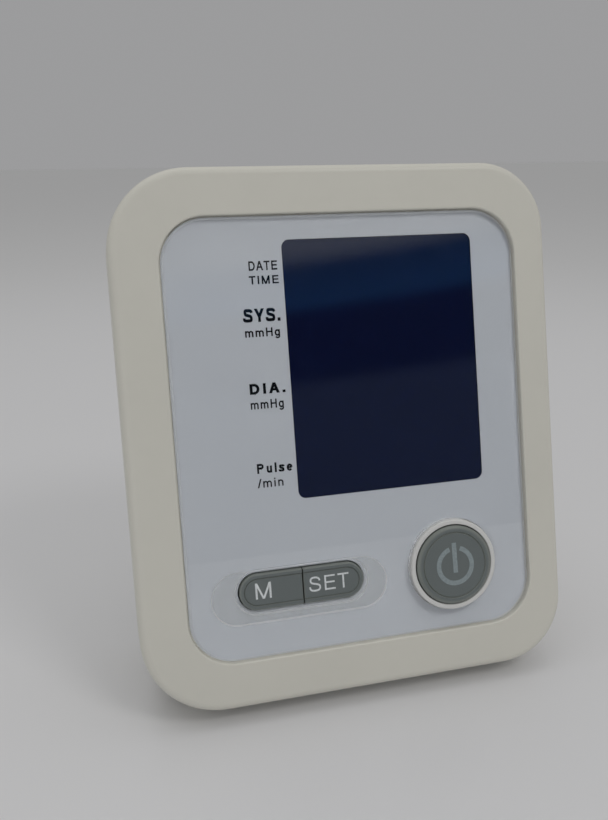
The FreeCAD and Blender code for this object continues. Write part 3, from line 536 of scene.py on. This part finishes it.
def merge(polys):
    """One flat mesh that covers what any of these outlines covers."""
    co = [v for q in polys for v in q]
    edges, n = [], 0
    for q in polys:
        edges += [(n + i, n + (i + 1) % len(q)) for i in range(len(q))]
        n += len(q)
    flat, _, tris = delaunay_2d_cdt(co, edges, [], 0, 1e-6)[:3]
    keep = []
    for t in tris:
        m = (flat[t[0]] + flat[t[1]] + flat[t[2]]) / 3
        a, b = flat[t[1]] - flat[t[0]], flat[t[2]] - flat[t[0]]
        if abs(a.x * b.y - a.y * b.x) > 1e-9 and any(inside(m, q) for q in polys):
            keep.append(t)
    used = sorted({i for t in keep for i in t})
    new = {i: k for k, i in enumerate(used)}
    return [flat[i] for i in used], [tuple(new[i] for i in t) for t in keep]


def letters(name, body, string, x0, x1, z0, z1, depth, mat, weight=0.12, track=0.0, thick=0.05, proud=0.03):
    """A word that fills the box x0..x1, z0..z1 of the face. depth is a number or a surface to lie on."""
    polys, pen = [], 0.0
    for c in string:
        parts, adv = glyph(c, weight)
        polys += [[(x + pen, z) for x, z in q] for q in parts]
        pen += adv + track
    xs = [x for q in polys for x, z in q]
    zs = [z for q in polys for x, z in q]
    ax, bx, az, bz = min(xs), max(xs), min(zs), max(zs)
    fit = [[Vector((x0 + (x - ax) / (bx - ax) * (x1 - x0), z0 + (z - az) / (bz - az) * (z1 - z0))) for x, z in q] for q in polys]
    flat, tris = merge(fit)
    return slab(name, body, flat, tris, depth, mat, thick, proud)


def slab(name, body, flat, tris, depth, mat, thick, proud):
    """A thin layer of ink in the outline of a flat mesh."""
    n = len(flat)
    pts = []
    for lift in (0.0, thick):
        for v in flat:
            d = depth if isinstance(depth, (int, float)) else depth(v.x, v.y)
            pts.append((v.x, d - proud + lift, v.y))
    faces = [tuple(t) for t in tris] + [tuple(i + n for i in reversed(t)) for t in tris]
    count = {}
    for t in tris:
        for i in range(len(t)):
            a, b = t[i], t[(i + 1) % len(t)]
            count.setdefault((min(a, b), max(a, b)), []).append((a, b))
    for uses in count.values():
        if len(uses) == 1:
            a, b = uses[0]
            faces.append((b, a, a + n, b + n))
    return make(name, body, pts, faces, mat)


def stroke(name, body, line, width, depth, mat, thick=0.05, proud=0.03):
    """A painted line of constant width along points (x, z) of the face, cut square at its ends."""
    flat, tris = merge([[Vector(v) for v in q] for q in ribbon(line, width)])
    return slab(name, body, flat, tris, depth, mat, thick, proud)


def U(x, y):
    """From the window's own measure to mm on the face."""
    return (x - 15.6) * 0.955, (52.95 - y) * 0.955


def label(name, string, X0, X1, Y0, Y1, weight=0.12, track=0.0):
    x0, z1 = U(X0, Y0)
    x1, z0 = U(X1, Y1)
    return letters(name, "case", string, x0, x1, z0, z1, 2.25, mat_dark_ink, weight, track, thick=0.04, proud=0.035)


label("label_date", "DATE", -9.48, -1.72, 5.38, 7.86, 0.185, 0.06)
label("label_time", "TIME", -9.62, -1.57, 9.26, 11.47, 0.185, 0.10)
label("label_sys", "SYS.", -12.0, -1.84, 17.86, 21.42, 0.24, 0.08)
label("label_sys_unit", "mmHg", -11.72, -2.22, 23.02, 26.05, 0.18, 0.08)
label("label_dia", "DIA.", -11.6, -1.85, 37.76, 40.94, 0.24, 0.16)
label("label_dia_unit", "mmHg", -11.63, -2.57, 42.14, 45.3, 0.175, 0.08)
label("label_pulse", "Pulse", -11.2, -1.4, 59.32, 62.0, 0.22, 0.17)
label("label_pulse_unit", "/min", -11.38, -4.22, 63.42, 65.88, 0.155, 0.12)

on_memory = surface("memory_button")
on_set = surface("set_button")
on_power = surface("power_button")
letters("glyph_memory", "memory_key", "M", -28.51, -24.30, -41.04, -36.81, on_memory, mat_light_ink, 0.12, 0.0)
letters("glyph_set", "set_key", "SET", -14.2, -3.3, -41.1, -37.1, on_set, mat_light_ink, 0.12, 0.10)

PX, PZ, PR, PW = 26.40, -38.80, 4.80, 1.28
gap = math.radians(18.2)
ring = [(PX + PR * math.sin(a), PZ + PR * math.cos(a)) for a in [gap + (2 * math.pi - 2 * gap) * i / 72 for i in range(73)]]
stroke("glyph_power_ring", "power_key", ring, PW, on_power, mat_symbol)
stroke("glyph_power_bar", "power_key", [(26.26, -32.52), (26.345, -36.65), (26.43, -40.78)], PW, on_power, mat_symbol)


# ------------------------------------------------------------------ floor, light, camera
def floor():
    me = bpy.data.meshes.new("floor")
    s = 6.0
    me.from_pydata([(-s, -s, 0), (s, -s, 0), (s, s, 0), (-s, s, 0)], [], [(0, 1, 2, 3)])
    t = Tree("floor")
    f = t.noise(3.0, 3.0)
    far = t.n("ShaderNodeVectorMath", operation="LENGTH")
    t.link(t.co, far.inputs[0])
    # painted shade: the floor's colour darkens with distance from the object (from 0.12 m to 1 m out), a painted
    # fall-off of light that fades it into the backdrop
    near = t.mix(f, (0.75, 0.75, 0.765), (0.77, 0.77, 0.785))
    away = t.span(far.outputs["Value"], 0.12, 1.0, 0.0, 1.0, True)
    t.set(base=t.mix(away, near, (0.69, 0.69, 0.695)), spec=0.4,
          rough=t.math("ADD", t.span(f, 0.3, 0.7, 0.30, 0.34), t.math("MULTIPLY", t.span(far.outputs["Value"], 0.15, 0.6, 0.0, 1.0), 0.66)))
    me.materials.append(t.m)
    o = bpy.data.objects.new("floor", me)
    bpy.context.scene.collection.objects.link(o)


floor()


def area(name, loc, at, size, power, color=(1, 1, 1), size_y=None):
    l = bpy.data.lights.new(name, "AREA")
    l.energy = power
    l.color = color
    l.shape = "RECTANGLE" if size_y else "SQUARE"
    l.size = size
    if size_y:
        l.size_y = size_y
    o = bpy.data.objects.new(name, l)
    o.location = loc
    o.rotation_mode = "QUATERNION"
    o.rotation_quaternion = (Vector(at) - Vector(loc)).to_track_quat("-Z", "Y")
    bpy.context.scene.collection.objects.link(o)
    return o


area("key", (0.408, -0.662, 0.905), (0, 0, 0.06), 0.32, 1.6, (1.0, 0.985, 0.96))
area("top", (-0.15, 0.15, 1.2), (0, 0, 0.06), 0.9, 1.6, (1.0, 1.0, 1.0))
area("fill", (-0.42, -0.80, 0.15), (0, 0, 0.04), 0.5, 0.45, (1.0, 1.0, 1.0), 0.25)


def studio():
    """Soft light from a bright ceiling, dimmer walls, and a darker room in front of the object."""
    w = bpy.data.worlds.new("world")
    bpy.context.scene.world = w
    w.use_nodes = True
    t = w.node_tree
    bg = t.nodes["Background"]
    co = t.nodes.new("ShaderNodeTexCoord")
    xyz = t.nodes.new("ShaderNodeSeparateXYZ")
    t.links.new(co.outputs["Generated"], xyz.inputs[0])

    def ramp(v, stops):
        r = t.nodes.new("ShaderNodeValToRGB")
        e = r.color_ramp.elements
        while len(e) < len(stops):
            e.new(0.5)
        for k, (at, c) in zip(e, stops):
            k.position = at
            k.color = (*c, 1.0)
        t.links.new(v, r.inputs[0])
        return r.outputs[0]

    def mix(f, a, b):
        m = t.nodes.new("ShaderNodeMix")
        m.data_type = "RGBA"
        for i, v in ((0, f), (6, a), (7, b)):
            if isinstance(v, tuple):
                m.inputs[i].default_value = (*v, 1.0)
            else:
                t.links.new(v, m.inputs[i])
        return m.outputs[2]

    walls = ramp(xyz.outputs[2], [(0.0, (0.36, 0.36, 0.365)), (0.2, (0.27, 0.27, 0.275)), (0.7, (0.49, 0.49, 0.485)), (1.0, (0.54, 0.54, 0.535))])
    room = ramp(xyz.outputs[2], [(0.0, (0.07, 0.08, 0.10)), (0.185, (0.07, 0.08, 0.10)), (0.2, (0.012, 0.012, 0.02)), (0.272, (0.012, 0.012, 0.02)),
                                 (0.286, (0.03, 0.10, 0.22)), (0.325, (0.03, 0.07, 0.13)), (0.345, (0.36, 0.36, 0.36)), (0.5, (0.36, 0.36, 0.36)),
                                 (0.8, (0.56, 0.56, 0.555))])
    def step(v, a, b):
        m = t.nodes.new("ShaderNodeMapRange")
        m.interpolation_type = "SMOOTHSTEP"
        m.inputs[1].default_value, m.inputs[2].default_value = a, b
        t.links.new(v, m.inputs[0])
        return m.outputs[0]

    def times(a, b):
        m = t.nodes.new("ShaderNodeMath")
        m.operation = "MULTIPLY"
        t.links.new(a, m.inputs[0])
        t.links.new(b, m.inputs[1])
        return m.outputs[0]

    front = times(step(xyz.outputs[1], -0.25, -0.7), times(step(xyz.outputs[0], 0.02, 0.15), step(xyz.outputs[0], 0.68, 0.52)))
    path = t.nodes.new("ShaderNodeLightPath")
    t.links.new(mix(path.outputs["Is Camera Ray"], mix(front, walls, room), (0.33, 0.33, 0.335)), bg.inputs[0])
    bg.inputs[1].default_value = 1.0


studio()

scene = bpy.context.scene
scene.view_settings.view_transform = "Standard"
scene.view_settings.look = "None"

cam = bpy.data.cameras.new("camera")
cam.sensor_width = 36.0
cam.lens = 817.9 * 36.0 / 820.0
cam.clip_start, cam.clip_end = 0.01, 50.0
cam.dof.use_dof = False
co = bpy.data.objects.new("camera", cam)
right, down, ahead = D(0.9673, -0.2441, -0.0689), D(-0.0853, -0.0573, -0.9947), D(0.2389, 0.968, -0.0763)
down = (down - right * down.dot(right)).normalized()
ahead = right.cross(down)
ahead = (ahead - (right + down) * (0.5 / 817.9)).normalized()
right = (right - ahead * right.dot(ahead)).normalized()
down = ahead.cross(right)
rot = Matrix((right, -down, -ahead)).transposed()
co.matrix_world = Matrix.Translation(P(-62.66, -203.6, 22.78)) @ rot.to_4x4()
bpy.context.scene.collection.objects.link(co)
scene.camera = co
